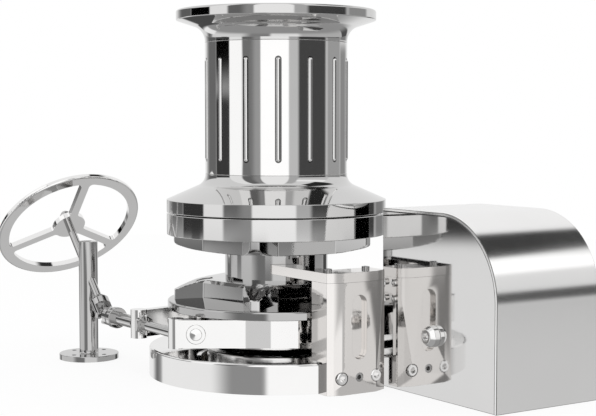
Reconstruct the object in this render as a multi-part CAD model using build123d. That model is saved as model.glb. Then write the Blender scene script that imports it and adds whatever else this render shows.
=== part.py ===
from build123d import *
import os
from math import asin, atan2, cos, degrees, hypot, radians, sin, sqrt, tan

# Vertical anchor windlass: capstan over a chain gypsy, band brake with a handwheel, chain hood.
# Frame: the deck is z = 0, the main shaft is the Z axis, +X points at the chain hood's side,
# -Y is the side where the chain comes in. All sizes are millimetres.

# Clearances
running_gap = 0.05
moving_gap = 0.3
screw_gap = 0.4
seam_gap = 1.4

# Base disc on the deck
base_margin = 26.0
base_height = 39.5
base_edge_round = 3.0
tower_radius = 46.0
tower_height = 22.5
deck_stud_count = 6
deck_stud_edge = 33.5
deck_stud_radius = 6.0
deck_stud_depth = 26.0
deck_stud_start = 15.0

# Main shaft and its bearings
shaft_radius = 22.0
shaft_bottom = 5.0
shaft_drop = 13.0
bush_wall = 6.0
bush_flange_radius = 36.0
bush_flange_height = 4.0
seal_height = 8.0
collar_radius = 34.0
collar_height = 8.0
washer_radius = 40.0
washer_height = 4.0
drive_socket_radius = 11.0
drive_socket_depth = 40.0
drive_key_width = 6.0
drive_key_depth = 3.0

# Chain gypsy
flange_radius = 152.5
flange_height = 9.0
flange_rise = 52.5
flange_chamfer = 3.0
lobe_inset = 6.5
lower_lobe_height = 36.2
groove_height = 36.1
upper_lobe_height = 21.7
lower_lobe_round = 22.0
upper_lobe_round = 17.0
gypsy_hub_radius = 72.0
gypsy_hub_round = 5.0
pocket_count = 5
pocket_angle = -131.5
pocket_depth = 34.0
pocket_floor_width = 34.0
pocket_mouth_width = 52.0
link_seat_radius = 17.5
link_seat_offset = 7.8
link_seat_depth = 16.0
ring_overhang = 0.8
gypsy_ring_height = 29.4
gypsy_boss_radius = 38.0
gypsy_boss_rise = 10.0
gypsy_web_rise = 11.0
gypsy_bolt_count = 6
gypsy_bolt_circle = 104.0
gypsy_bolt_radius = 5.0
gypsy_bolt_head_radius = 8.0
gypsy_bolt_head_height = 10.0
gypsy_bolt_length = 70.0

# Brake drum under the gypsy
drum_radius = 98.0
drum_wall = 14.0
drum_gap_over_base = 4.5
drum_web = 8.0
drum_screw_circle = 140.0
drum_screw_radius = 4.0
drum_screw_head_radius = 6.5
drum_screw_head_height = 6.0
drum_screw_length = 14.0

# Cone clutch between gypsy and capstan
cone_inset = 43.3
cone_height = 18.0
cone_spread = 8.0
cone_wall = 10.0
lining_wall = 4.0
cone_release_gap = 0.5

# Capstan
capstan_ring_height = 17.4
capstan_cone_flare = 6.9
capstan_cone_rise = 20.8
barrel_radius = 99.1
barrel_foot = 15.0
barrel_height = 181.0
barrel_wall = 9.0
spigot_height = 8.0
spigot_wall = 6.0
capstan_hub_radius = 38.0
capstan_hub_rise = 11.0
capstan_web = 10.0
key_width = 10.0
key_height = 8.0
key_length = 56.0
grip_count = 14
grip_angle = -121.0
grip_foot = 17.0
grip_head = 21.5
grip_recess_width = 9.0
grip_recess_depth = 1.5
grip_bar_radius = 3.2
top_overhang = 39.9
top_flare = 7.9
top_flare_height = 18.5
top_rim_rise = 31.0
top_rim_height = 13.5
top_rim_round = 3.0
top_dome_rise = 6.0
cap_radius = 33.5
cap_seat_depth = 11.5
cap_dome_rise = 2.0
handle_socket_size = 17.5
handle_socket_depth = 22.0
cap_screw_count = 3
cap_screw_circle = 55.0
cap_screw_radius = 2.5

# Band brake
drum_lining_gap = 3.0
brake_lining_wall = 5.0
band_wall = 6.0
band_rise = 16.5
band_height = 32.0
band_end_angle = 150.0
band_split_angle = 1.5
lining_inset = 2.0
hinge_distance = 124.0
hinge_pin_radius = 6.0
hinge_knuckle_radius = 11.0
hinge_knuckle_height = 10.0
hinge_pin_depth = 19.5
hinge_clip_radius = 10.0
hinge_clip_height = 2.0
arm_angle = -33.5
arm_length = 164.0
arm_thickness = 21.0
arm_rise = 13.3
arm_height = 37.2
arm_boss_extra = 1.2
arm_bolt_offset = 27.0
arm_bolt_radius = 13.0
arm_bolt_button = 8.2
anchor_y = 80.6
anchor_radius = 11.5
anchor_bar_thickness = 14.0
anchor_spotface = 1.0
foot_angles = (34.0, 86.0)
foot_width = 26.0
foot_reach = 22.0
foot_height = 20.0
foot_screw_radius = 5.0
foot_screw_head_radius = 8.0
foot_screw_head_height = 8.0

# Brake screw and its pieces
screw_x = -175.0
screw_rise = 18.2
screw_radius = 7.0
screw_journal_radius = 9.0
screw_hole_gap = 1.1
screw_end_y = -24.0
screw_hole_end_y = -33.0
nut_flats = 24.0
nut_height = 8.0
nut_crown_radius = 10.0
nut_crown_height = 5.0
nut_slot_width = 3.0
split_pin_radius = 1.3
split_pin_length = 26.0
thrust_collar_radius = 15.0
thrust_collar_height = 10.0
thrust_collar_y = 146.0

# Universal joint
joint_ball_radius = 7.2
joint_pin_radius = 4.0
fork_radius = 13.5
fork_gap = 17.0
fork_ear_width = 11.0
fork_depth = 15.5
fork_base = 10.0
fork_neck_radius = 9.0
fork_neck = 6.0

# Pedestal and handwheel
pedestal_y = 244.0
pedestal_flange_radius = 43.7
pedestal_flange_height = 8.0
pedestal_post_radius = 14.0
pedestal_crown = 47.0
pedestal_round = 2.5
pedestal_bore_rise = 56.0
pedestal_hole_count = 4
pedestal_hole_circle = 62.0
pedestal_hole_radius = 3.3
pedestal_hole_start = 20.0
wheel_tilt = 45.0
wheel_shaft_radius = 5.75
wheel_bush_wall = 2.25
wheel_distance = 95.3
wheel_radius = 109.8
wheel_rim_width = 16.0
wheel_thickness = 8.0
wheel_edge_round = 2.5
wheel_spoke_count = 3
wheel_spoke_width = 12.0
wheel_spoke_start = 28.5
wheel_hub_radius = 24.0
wheel_boss_radius = 13.0
wheel_boss_height = 9.0
wheel_corner_round = 6.0
wheel_nut_radius = 8.5
wheel_nut_height = 9.0

# Chain stripper bracket bolted to the front of the base disc
bracket_half_width = 46.0
bracket_face_half = 27.0
bracket_chamfer = 8.5
bracket_base_gap = 2.5
bracket_post_depth = 18.5
bracket_gypsy_gap = 4.5
bracket_groove_rise = 8.0
bracket_head_height = 35.2
bracket_wall_bottom = 42.0
cheek_thickness = 12.0
gusset_thickness = 14.0
gusset_inset = 12.0
gusset_foot = 58.0
slot_half_width = 11.5
slot_bottom = 45.0
slot_head = 16.7
slot_depth = 6.0
stripper_thickness = 12.8
finger_width = 30.0
finger_gap = 1.5
foot_bolt_x = 27.0
foot_bolt_z = 21.5
foot_bolt_radius = 5.0
foot_bolt_head_radius = 8.2
foot_bolt_head_height = 10.0
foot_bolt_length = 40.0
set_screw_radius = 6.0
set_screw_socket = 6.0
side_plate_thickness = 4.0
side_screw_radius = 3.0
side_screw_head_radius = 5.0
side_screw_head_height = 3.5
side_screw_length = 14.0
side_screw_edge = 7.0
top_screw_radius = 3.0
top_screw_head_radius = 5.2
top_screw_head_height = 3.5
top_screw_length = 16.0
top_screw_x = 30.0
top_screw_inset = 14.0

# Chain hood over the deck pipe
hood_side_gap = 10.5
hood_base_gap = 3.02
hood_width = 169.5
hood_length = 227.5
hood_height = 237.5
hood_round = 106.0
hood_sheet = 4.0
hood_plate_inset = 0.6
hood_frame_height = 6.0
hood_frame_length = 152.0
pipe_radius = 50.0
pipe_wall = 6.0
pipe_height = 26.0
pipe_setback = 82.0
hood_hole_radius = 4.5
hood_hole_inset = 18.0
hood_bolt_setback = 120.0
hood_bolt_z = 80.6
hood_bolt_radius = 14.0
hood_bolt_length = 22.5
hood_bolt_end_radius = 8.5
hood_bolt_socket = 8.0
hood_stud_radius = 6.0
hood_nut_height = 8.0
hood_nut_flats = 18.0

# Sizes that follow from the gypsy's flange
base_radius = flange_radius + base_margin
deck_stud_circle = 2 * (base_radius - deck_stud_edge)
lobe_radius = flange_radius - lobe_inset
pocket_floor_radius = lobe_radius - pocket_depth
ring_radius = flange_radius + ring_overhang
cone_low_radius = ring_radius - cone_inset
cone_top_radius = barrel_radius + capstan_cone_flare
top_flare_radius = barrel_radius + top_flare
top_radius = barrel_radius + top_overhang

# Heights that follow from the stack of pieces
tower_top = base_height + tower_height
flange_bottom = base_height + flange_rise
groove_bottom = flange_bottom + flange_height + lower_lobe_height
groove_top = groove_bottom + groove_height
ring_bottom = groove_top + upper_lobe_height
ring_top = ring_bottom + gypsy_ring_height
capstan_bottom = ring_top + seam_gap
capstan_ring_top = capstan_bottom + capstan_ring_height
cone_top = capstan_ring_top + capstan_cone_rise
barrel_bottom = cone_top + barrel_foot
barrel_top = barrel_bottom + barrel_height
capstan_hub_top = barrel_bottom + capstan_hub_rise
grip_bottom = barrel_bottom + grip_foot
grip_top = barrel_top - grip_head
top_rim_bottom = barrel_top + top_rim_rise
top_dome = top_rim_bottom + top_rim_height + top_dome_rise
cap_seat = top_dome - cap_seat_depth
cap_top = top_dome + cap_dome_rise
shaft_top = cap_seat - shaft_drop
bush_radius = shaft_radius + bush_wall
collar_bottom = tower_top + bush_flange_height + moving_gap
collar_top = collar_bottom + collar_height
gypsy_bottom = collar_top + washer_height + moving_gap
gypsy_web_top = ring_bottom + gypsy_web_rise
gypsy_boss_top = gypsy_web_top + gypsy_boss_rise
cone_bottom = capstan_bottom - cone_height
drum_bottom = base_height + drum_gap_over_base
lining_radius = drum_radius + drum_lining_gap
band_radius = lining_radius + brake_lining_wall
band_outer = band_radius + band_wall
band_bottom = base_height + band_rise
band_top = band_bottom + band_height
arm_bottom = base_height + arm_rise
arm_top = arm_bottom + arm_height
screw_z = arm_bottom + screw_rise
pedestal_bore_z = screw_z + pedestal_bore_rise
pedestal_top = pedestal_bore_z + pedestal_crown
joint_y = pedestal_y - (pedestal_bore_z - screw_z) * tan(radians(90 - wheel_tilt))
wheel_line = Vector(0, cos(radians(wheel_tilt)), sin(radians(wheel_tilt)))
joint_centre = Vector(screw_x, joint_y, screw_z)
bore_centre = Vector(screw_x, pedestal_y, pedestal_bore_z)
wheel_centre = bore_centre + wheel_line * wheel_distance
arm_line = Vector(cos(radians(arm_angle)), sin(radians(arm_angle)), 0)
arm_out = Vector(sin(radians(arm_angle)), -cos(radians(arm_angle)), 0)
arm_centre_distance = band_outer - band_wall * 0.6 + arm_thickness / 2
arm_boss_y = (arm_centre_distance - screw_x * arm_out.X) / arm_out.Y
arm_boss = Vector(screw_x, arm_boss_y, 0)

# Places of the bracket and the hood beside the base disc
base_flat_y = -sqrt(base_radius**2 - bracket_half_width**2)
bracket_post_back_y = -base_radius - bracket_base_gap
bracket_face_y = bracket_post_back_y - bracket_post_depth
bracket_chamfer_y = bracket_face_y + bracket_chamfer
bracket_back_y = -flange_radius - bracket_gypsy_gap
bracket_height = groove_bottom + bracket_groove_rise
bracket_head_bottom = bracket_height - bracket_head_height
slot_top = bracket_height - slot_head
top_screw_y = bracket_back_y - top_screw_inset
hood_x = bracket_half_width + hood_side_gap
hood_back_y = -sqrt((base_radius + hood_base_gap)**2 - hood_x**2)
hood_front_y = hood_back_y - hood_length
pipe_y = hood_front_y + pipe_setback
hood_bolt_y = hood_front_y + hood_bolt_setback

BOTTOM = (Align.CENTER, Align.CENTER, Align.MIN)


def disc(radius, low, high, x=0.0, y=0.0):
    return Pos(x, y, low) * Cylinder(radius, high - low, align=BOTTOM)


def tube(outer, inner, low, high, x=0.0, y=0.0):
    return disc(outer, low, high, x, y) - disc(inner, low, high, x, y)


def block(x_range, y_range, z_range):
    size = [high - low for low, high in (x_range, y_range, z_range)]
    low_corner = [pair[0] for pair in (x_range, y_range, z_range)]
    return Pos(*low_corner) * Box(*size, align=Align.MIN)


def rod(start, end, radius):
    way = Vector(*end) - Vector(*start)
    return extrude(Plane(origin=start, z_dir=way) * Circle(radius), way.length)


def outline(points, rounds=()):
    face = make_face(Polyline(*points, close=True))
    for index, radius in rounds:
        corner = face.vertices().sort_by_distance((*points[index], 0))[0]
        face = fillet(corner, radius)
    return face


def turned(points, rounds=()):
    return revolve(Plane.XZ * outline(points, rounds), Axis.Z)


def around(shape, count, start=0.0):
    return [Rot(0, 0, start + 360 / count * step) * shape for step in range(count)]


def on_circle(count, diameter, start=0.0):
    step = 360 / count
    angles = [radians(start + step * index) for index in range(count)]
    return [(diameter / 2 * cos(angle), diameter / 2 * sin(angle)) for angle in angles]


def hexagon(flats, height):
    return extrude(RegularPolygon(flats / 2, 6, major_radius=False), height)


def cap_screw(radius, length, head_radius, head_height, socket):
    # Head above z = 0, shank below it, hexagon socket in the top
    screw = disc(radius, -length, 0) + disc(head_radius, 0, head_height)
    rim = screw.edges().group_by(Axis.Z)[-1]
    screw = chamfer(rim, head_height * 0.12)
    return screw - Pos(0, 0, head_height * 0.4) * hexagon(socket, head_height)


def facing(x, y, z, direction):
    return Plane(origin=(x, y, z), z_dir=direction).location


# Base disc

def base_plate():
    plate = turned(
        [(bush_radius, 0), (base_radius, 0), (base_radius, base_height), (tower_radius, base_height),
         (tower_radius, tower_top), (bush_radius, tower_top)],
        [(2, base_edge_round), (4, base_edge_round)],
    )
    plate -= block((-bracket_half_width, bracket_half_width), (-base_radius, base_flat_y), (0, base_height))
    for x, y in on_circle(deck_stud_count, deck_stud_circle, deck_stud_start):
        plate -= disc(deck_stud_radius, 0, deck_stud_depth, x, y)
    plate -= disc(hinge_pin_radius, base_height - hinge_pin_depth, base_height, hinge_distance, 0)
    for x in (-foot_bolt_x, foot_bolt_x):
        hole_end = foot_bolt_seat_y() + foot_bolt_length
        plate -= rod((x, base_flat_y, foot_bolt_z), (x, hole_end, foot_bolt_z), foot_bolt_radius)
    for x, y in foot_places():
        plate -= disc(foot_screw_radius, base_height - foot_height, base_height, x, y)
    return plate


def lower_bush():
    return turned([
        (shaft_radius + running_gap, seal_height), (bush_radius, seal_height), (bush_radius, tower_top),
        (bush_flange_radius, tower_top), (bush_flange_radius, tower_top + bush_flange_height),
        (shaft_radius + running_gap, tower_top + bush_flange_height),
    ])


def shaft_seal():
    lip = shaft_radius + moving_gap
    return turned([(lip, 2.5), (lip + 2.5, 0), (bush_radius, 0), (bush_radius, seal_height),
                   (lip + 1.5, seal_height), (lip, 5.0)])


# Capstan and main shaft

def main_shaft():
    shaft = turned([
        (0, shaft_bottom), (shaft_radius, shaft_bottom), (shaft_radius, collar_bottom),
        (collar_radius, collar_bottom), (collar_radius, collar_top), (shaft_radius, collar_top),
        (shaft_radius, shaft_top), (0, shaft_top),
    ])
    shaft -= disc(drive_socket_radius, shaft_bottom, shaft_bottom + drive_socket_depth)
    shaft -= block((0, drive_socket_radius + drive_key_depth), (-drive_key_width / 2, drive_key_width / 2),
                   (shaft_bottom, shaft_bottom + drive_socket_depth))
    return shaft - hub_key()


def hub_key():
    low = capstan_hub_top - 4 - key_length
    return block((shaft_radius - key_height / 2, shaft_radius + key_height / 2),
                 (-key_width / 2, key_width / 2), (low, low + key_length))


def lower_thrust_washer():
    return tube(washer_radius, shaft_radius + moving_gap, collar_top, collar_top + washer_height)


def upper_thrust_washer():
    return tube(gypsy_boss_radius, shaft_radius + moving_gap, gypsy_boss_top + moving_gap, capstan_bottom)


def capstan_base():
    web_low = capstan_bottom + capstan_web
    inner = barrel_radius - barrel_wall
    skirt = turned(
        [(shaft_radius, capstan_bottom), (capstan_hub_radius, capstan_bottom), (capstan_hub_radius, web_low),
         (cone_low_radius - cone_wall, web_low), (cone_low_radius - cone_wall, cone_bottom),
         (cone_low_radius, cone_bottom), (cone_low_radius + cone_spread, capstan_bottom),
         (ring_radius, capstan_bottom), (ring_radius, capstan_ring_top), (cone_top_radius, cone_top),
         (barrel_radius, barrel_bottom), (inner, barrel_bottom), (inner, barrel_bottom + spigot_height),
         (inner - spigot_wall, barrel_bottom + spigot_height), (inner - spigot_wall, cone_top),
         (capstan_hub_radius, cone_top - capstan_web), (capstan_hub_radius, capstan_hub_top),
         (shaft_radius, capstan_hub_top)],
        [(9, 9.0), (8, 1.0)],
    )
    return skirt - hub_key()


def grip_slot(depth, width, low, high):
    # Flat-bottomed slot with round ends, cut radially into the barrel's +X side
    slot = Plane.YZ * Pos(0, (low + high) / 2) * Rot(0, 0, 90) * SlotOverall(high - low, width)
    return Pos(barrel_radius - depth, 0, 0) * extrude(slot, depth * 4)


def capstan_barrel():
    barrel = tube(barrel_radius, barrel_radius - barrel_wall, barrel_bottom, barrel_top)
    barrel = chamfer(barrel.edges().filter_by(GeomType.CIRCLE).sort_by(SortBy.RADIUS)[-2:], 0.6)
    slot = grip_slot(grip_recess_depth, grip_recess_width, grip_bottom, grip_top)
    for cutter in around(slot, grip_count, grip_angle):
        barrel -= cutter
    return barrel


def grip_bars():
    floor = barrel_radius - grip_recess_depth
    rim = (grip_recess_width - 2 * grip_bar_radius) / 2
    low = grip_bottom + rim + grip_bar_radius
    high = grip_top - rim - grip_bar_radius
    bar = disc(grip_bar_radius, low, high) + Pos(0, 0, low) * Sphere(grip_bar_radius)
    bar += Pos(0, 0, high) * Sphere(grip_bar_radius)
    bar = Pos(floor + 0.4, 0, 0) * bar
    bar &= block((floor, floor + 10), (-10, 10), (grip_bottom, grip_top))
    return Compound(children=around(bar, grip_count, grip_angle))


def capstan_top():
    inner = barrel_radius - barrel_wall
    flare_z = barrel_top + top_flare_height
    rim_top = top_rim_bottom + top_rim_height
    web = top_dome - capstan_web
    body = turned(
        [(shaft_radius, shaft_top - 26), (capstan_hub_radius, shaft_top - 26), (capstan_hub_radius, web - 6),
         (inner - spigot_wall, flare_z), (inner - spigot_wall, barrel_top - spigot_height),
         (inner, barrel_top - spigot_height), (inner, barrel_top), (barrel_radius, barrel_top),
         (top_flare_radius, flare_z), (top_radius, top_rim_bottom), (top_radius, rim_top),
         (cap_radius, top_dome), (cap_radius, cap_seat), (shaft_radius, cap_seat)],
        [(8, 16.0), (10, top_rim_round), (9, 1.5)],
    )
    for x, y in on_circle(cap_screw_count, cap_screw_circle):
        body -= disc(cap_screw_radius, cap_seat - 8, cap_seat, x, y)
    return body


def drum_cap():
    cap = disc(shaft_radius, shaft_top, cap_seat)
    cap += turned([(0, cap_seat), (cap_radius, cap_seat), (cap_radius, top_dome - 0.5), (0, cap_top)],
                  [(2, 1.0)])
    for turn in (0, 45):
        socket = Rot(0, 0, turn) * Rectangle(handle_socket_size, handle_socket_size)
        cap -= Pos(0, 0, cap_top - handle_socket_depth) * extrude(socket, handle_socket_depth)
    for x, y in on_circle(cap_screw_count, cap_screw_circle):
        cap -= disc(cap_screw_radius, cap_seat, cap_top, x, y)
        cap -= disc(cap_screw_radius * 1.8, cap_seat + 6, cap_top, x, y)
    return cap


def cap_screws():
    screw = cap_screw(cap_screw_radius, 14, cap_screw_radius * 1.7, 4, 3)
    places = on_circle(cap_screw_count, cap_screw_circle)
    return Compound(children=[Pos(x, y, cap_seat + 6) * screw for x, y in places])


# Chain gypsy

def lobes(low, high, groove_z, round_radius):
    # Ten flat facets, rounded towards the groove, with five open chain pockets
    if groove_z == low:
        corners = [(gypsy_hub_radius, low), (lobe_radius, low), (lobe_radius, high), (gypsy_hub_radius, high)]
        body = turned(corners, [(1, round_radius)])
    else:
        corners = [(gypsy_hub_radius, low), (lobe_radius, low), (lobe_radius, high), (gypsy_hub_radius, high)]
        body = turned(corners, [(2, round_radius)])
    facets = Rot(0, 0, pocket_angle) * RegularPolygon(lobe_radius, 2 * pocket_count)
    body &= Pos(0, 0, low) * extrude(facets, high - low)
    side = 1 if groove_z == low else -1
    notch = make_face(Polyline(
        (pocket_floor_radius, -pocket_floor_width / 2), (lobe_radius + 5, -pocket_mouth_width / 2),
        (lobe_radius + 5, pocket_mouth_width / 2), (pocket_floor_radius, pocket_floor_width / 2), close=True))
    cutter = Pos(0, 0, low) * extrude(notch, high - low)
    seat_z = groove_z - side * link_seat_offset
    cutter += rod((pocket_floor_radius - link_seat_depth, 0, seat_z), (lobe_radius + 5, 0, seat_z),
                  link_seat_radius)
    for pocket in around(cutter, pocket_count, pocket_angle):
        body -= pocket
    return body


def gypsy_lower_half():
    top_of_flange = flange_bottom + flange_height
    body = turned(
        [(bush_radius, gypsy_bottom), (gypsy_boss_radius, gypsy_bottom), (gypsy_boss_radius, flange_bottom),
         (flange_radius, flange_bottom), (flange_radius, top_of_flange), (gypsy_hub_radius, top_of_flange),
         (gypsy_hub_radius, groove_top), (bush_radius, groove_top)],
        [(4, flange_chamfer)],
    )
    body += lobes(top_of_flange, groove_bottom, groove_bottom, lower_lobe_round)
    foot = body.edges().filter_by(GeomType.CIRCLE).filter_by(
        lambda edge: abs(edge.center().Z - groove_bottom) < 0.01 and abs(edge.radius - gypsy_hub_radius) < 0.01)
    if foot:
        body = fillet(foot, gypsy_hub_round)
    for x, y in on_circle(gypsy_bolt_count, gypsy_bolt_circle):
        body -= disc(gypsy_bolt_radius, gypsy_bolt_seat() - gypsy_bolt_length, groove_top, x, y)
    for x, y in on_circle(gypsy_bolt_count, drum_screw_circle, 30):
        body -= disc(drum_screw_radius, flange_bottom, flange_bottom + drum_screw_length, x, y)
    return body


def gypsy_bolt_seat():
    return gypsy_web_top - gypsy_bolt_head_height


def cone_radius(z):
    return cone_low_radius + cone_spread * (z - cone_bottom) / cone_height


def gypsy_upper_half():
    lining = cone_release_gap + lining_wall
    floor = gypsy_web_top
    body = turned(
        [(bush_radius, groove_top), (gypsy_hub_radius, groove_top), (gypsy_hub_radius, ring_bottom),
         (ring_radius, ring_bottom), (ring_radius, ring_top), (cone_radius(ring_top) + lining, ring_top),
         (cone_radius(floor) + lining, floor), (gypsy_boss_radius, floor),
         (gypsy_boss_radius, gypsy_boss_top), (bush_radius, gypsy_boss_top)],
        [(3, 1.0), (4, 1.0)],
    )
    body += lobes(groove_top, ring_bottom, groove_top, upper_lobe_round)
    for x, y in on_circle(gypsy_bolt_count, gypsy_bolt_circle):
        body -= disc(gypsy_bolt_radius, groove_top, floor, x, y)
        body -= disc(gypsy_bolt_head_radius + screw_gap, gypsy_bolt_seat(), floor, x, y)
    return body


def gypsy_bolts():
    bolt = cap_screw(gypsy_bolt_radius, gypsy_bolt_length, gypsy_bolt_head_radius, gypsy_bolt_head_height, 8)
    places = on_circle(gypsy_bolt_count, gypsy_bolt_circle)
    return Compound(children=[Pos(x, y, gypsy_bolt_seat()) * bolt for x, y in places])


def clutch_lining():
    low, high = gypsy_web_top, ring_top
    near, far = cone_release_gap, cone_release_gap + lining_wall
    return turned([(cone_radius(low) + near, low), (cone_radius(low) + far, low),
                   (cone_radius(high) + far, high), (cone_radius(high) + near, high)])


def gypsy_bush(low, high):
    return tube(bush_radius, shaft_radius + running_gap, low, high)


def brake_drum():
    inner = drum_radius - drum_wall
    neck = drum_screw_circle / 2 - drum_screw_head_radius - 4
    drum = turned(
        [(inner, drum_bottom), (drum_radius, drum_bottom), (drum_radius, flange_bottom),
         (neck, flange_bottom), (neck, flange_bottom - drum_web), (inner, flange_bottom - drum_web)],
        [(1, 2.0)],
    )
    for x, y in on_circle(gypsy_bolt_count, drum_screw_circle, 30):
        drum -= disc(drum_screw_radius, flange_bottom - drum_web, flange_bottom, x, y)
    return drum


def drum_screws():
    length = drum_screw_length + drum_web
    screw = Rot(180, 0, 0) * cap_screw(drum_screw_radius, length, drum_screw_head_radius, drum_screw_head_height, 6)
    places = on_circle(gypsy_bolt_count, drum_screw_circle, 30)
    return Compound(children=[Pos(x, y, flange_bottom - drum_web) * screw for x, y in places])


# Band brake

def band_half(side):
    # side is -1 for the front half and +1 for the rear half
    sweep = band_end_angle - band_split_angle
    start = band_split_angle if side > 0 else -band_end_angle
    return Rot(0, 0, start) * sector(band_radius, band_outer, band_bottom, band_top, sweep)


def sector(inner, outer, low, high, sweep):
    face = Plane.XZ * Pos((inner + outer) / 2, (low + high) / 2) * Rectangle(outer - inner, high - low)
    return revolve(face, Axis.Z, sweep)


def knuckle(side, low, high):
    web = block((band_radius, hinge_distance), sorted((side * band_split_angle * 1.9, side * 9)), (low, high))
    web -= disc(band_radius, low, high)
    return disc(hinge_knuckle_radius, low, high, hinge_distance, 0) + web


def brake_band_front():
    near = arm_boss
    far = arm_boss + arm_line * arm_length
    bar = Pos(near.X, near.Y, 0) * Rot(0, 0, arm_angle) * block(
        (0, arm_length), (-arm_thickness / 2, arm_thickness / 2), (arm_bottom, arm_top))
    bar = chamfer(bar.edges().filter_by(Axis.Z).sort_by_distance((far.X, far.Y, 0))[:2], 2.0)
    body = band_half(-1) + bar
    body += disc(arm_thickness / 2, arm_bottom - arm_boss_extra, arm_top + arm_boss_extra, near.X, near.Y)
    body -= disc(band_radius, 0, flange_bottom)
    knuckle_high = band_bottom + hinge_knuckle_height
    body += knuckle(-1, band_bottom, knuckle_high)
    body += knuckle(-1, band_top - hinge_knuckle_height, band_top)
    body -= disc(hinge_pin_radius + running_gap, 0, flange_bottom, hinge_distance, 0)
    body -= rod((screw_x, arm_boss.Y + arm_thickness, screw_z), (screw_x, screw_hole_end_y, screw_z),
                screw_radius + screw_hole_gap)
    return body - arm_bolt_shape(screw_gap / 4)


def arm_bolt_shape(extra):
    # Round head let into the arm's outer face, with a stem into the arm
    centre = arm_boss + arm_line * arm_bolt_offset + Vector(0, 0, screw_z)
    place = Plane(origin=centre + arm_out * (arm_thickness / 2), z_dir=arm_out).location
    return place * (disc(arm_bolt_radius + extra, -3.0, 0) + disc(5.0 + extra, -arm_thickness + 3, -3.0))


def arm_bolt():
    centre = arm_boss + arm_line * arm_bolt_offset + Vector(0, 0, screw_z)
    place = Plane(origin=centre + arm_out * (arm_thickness / 2), z_dir=arm_out).location
    head = turned([(0, -3.0), (arm_bolt_radius, -3.0), (arm_bolt_radius, 1.2), (arm_bolt_button + 2, 1.2),
                   (arm_bolt_button + 2, -0.8), (arm_bolt_button, -0.8), (arm_bolt_button, 1.6), (0, 2.2)],
                  [(2, 0.9), (6, 0.9)])
    return place * (head + disc(5.0, -arm_thickness + 3, -3.0))


def foot_places():
    reach = band_outer + foot_reach / 2
    return [(reach * cos(radians(angle)), reach * sin(radians(angle))) for angle in foot_angles]


def brake_band_rear():
    distance = hypot(screw_x, anchor_y)
    offset = band_radius + anchor_bar_thickness / 2
    bearing = atan2(-anchor_y, -screw_x) + asin(offset / distance)
    length = sqrt(distance**2 - offset**2)
    bar = Pos(screw_x, anchor_y, 0) * Rot(0, 0, degrees(bearing)) * block(
        (0, length), (-anchor_bar_thickness / 2, anchor_bar_thickness / 2), (arm_bottom, arm_top))
    body = band_half(1) + bar
    body += disc(anchor_radius, arm_bottom - arm_boss_extra, arm_top + arm_boss_extra, screw_x, anchor_y)
    body -= disc(band_radius, 0, flange_bottom)
    body += knuckle(1, band_bottom + hinge_knuckle_height + moving_gap,
                    band_top - hinge_knuckle_height - moving_gap)
    body -= disc(hinge_pin_radius + running_gap, 0, flange_bottom, hinge_distance, 0)
    for angle in foot_angles:
        foot = block((band_radius, band_outer + foot_reach), (-foot_width / 2, foot_width / 2),
                     (base_height, base_height + foot_height))
        foot -= disc(band_radius, 0, flange_bottom)
        body += Rot(0, 0, angle) * foot
    for x, y in foot_places():
        body -= disc(foot_screw_radius, base_height, base_height + foot_height, x, y)
    reach = anchor_radius - anchor_spotface
    for side in (-1, 1):
        near = anchor_y + side * reach
        body -= rod((screw_x, near, screw_z), (screw_x, near + side * 4, screw_z), thrust_collar_radius)
    body -= rod((screw_x, anchor_y - 20, screw_z), (screw_x, anchor_y + 20, screw_z),
                screw_radius + screw_hole_gap / 2)
    return body


def brake_lining(side):
    trim = 4.0
    sweep = band_end_angle - band_split_angle - 2 * trim
    start = band_split_angle + trim if side > 0 else -band_end_angle + trim
    ring = sector(lining_radius, band_radius, band_bottom + lining_inset, band_top - lining_inset, sweep)
    return Rot(0, 0, start) * ring


def hinge_pin():
    pin = disc(hinge_pin_radius, base_height - hinge_pin_depth, flange_bottom - 1, hinge_distance, 0)
    return pin + disc(hinge_knuckle_radius, base_height, band_bottom - moving_gap, hinge_distance, 0)


def hinge_clip():
    low = band_top + moving_gap
    return tube(hinge_clip_radius, hinge_pin_radius, low, low + hinge_clip_height, hinge_distance, 0)


def band_foot_screws():
    screw = cap_screw(foot_screw_radius, 2 * foot_height, foot_screw_head_radius, foot_screw_head_height, 8)
    seat = base_height + foot_height
    return Compound(children=[Pos(x, y, seat) * screw for x, y in foot_places()])


# Brake screw, its nut and the universal joint

def screw_turned(points, rounds=()):
    # Outline of (radius, y) points turned about the brake screw's line
    body = turned([(radius, y) for radius, y in points], rounds)
    return Pos(screw_x, 0, screw_z) * Rot(-90, 0, 0) * body


def brake_screw():
    shoulder = anchor_y + anchor_radius - anchor_spotface + moving_gap
    neck = thrust_collar_y + thrust_collar_height
    return screw_turned(
        [(0, screw_end_y), (screw_radius, screw_end_y), (screw_radius, shoulder),
         (screw_journal_radius, shoulder), (screw_journal_radius, neck), (screw_radius, neck),
         (screw_radius, joint_y - fork_depth - 1), (0, joint_y - fork_depth - 1)],
        [(1, 1.5)],
    ) - split_pin()


def nut_face_y():
    return anchor_y - anchor_radius + anchor_spotface - moving_gap


def castle_nut():
    body = hexagon(nut_flats, nut_height)
    body += disc(nut_crown_radius, nut_height, nut_height + nut_crown_height)
    body &= turned([(0, 0), (nut_flats * 0.56, 0), (nut_flats * 0.58, 1.2), (nut_flats * 0.58, nut_height - 2),
                    (nut_flats * 0.5, nut_height), (nut_crown_radius, nut_height + nut_crown_height),
                    (0, nut_height + nut_crown_height)])
    for turn in (0, 60, 120):
        slot = block((-nut_flats, nut_flats), (-nut_slot_width / 2, nut_slot_width / 2),
                     (nut_height + 1, nut_height + nut_crown_height))
        body -= Rot(0, 0, turn) * slot
    body -= disc(screw_radius, 0, nut_height + nut_crown_height)
    return facing(screw_x, nut_face_y(), screw_z, (0, -1, 0)) * body


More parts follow.
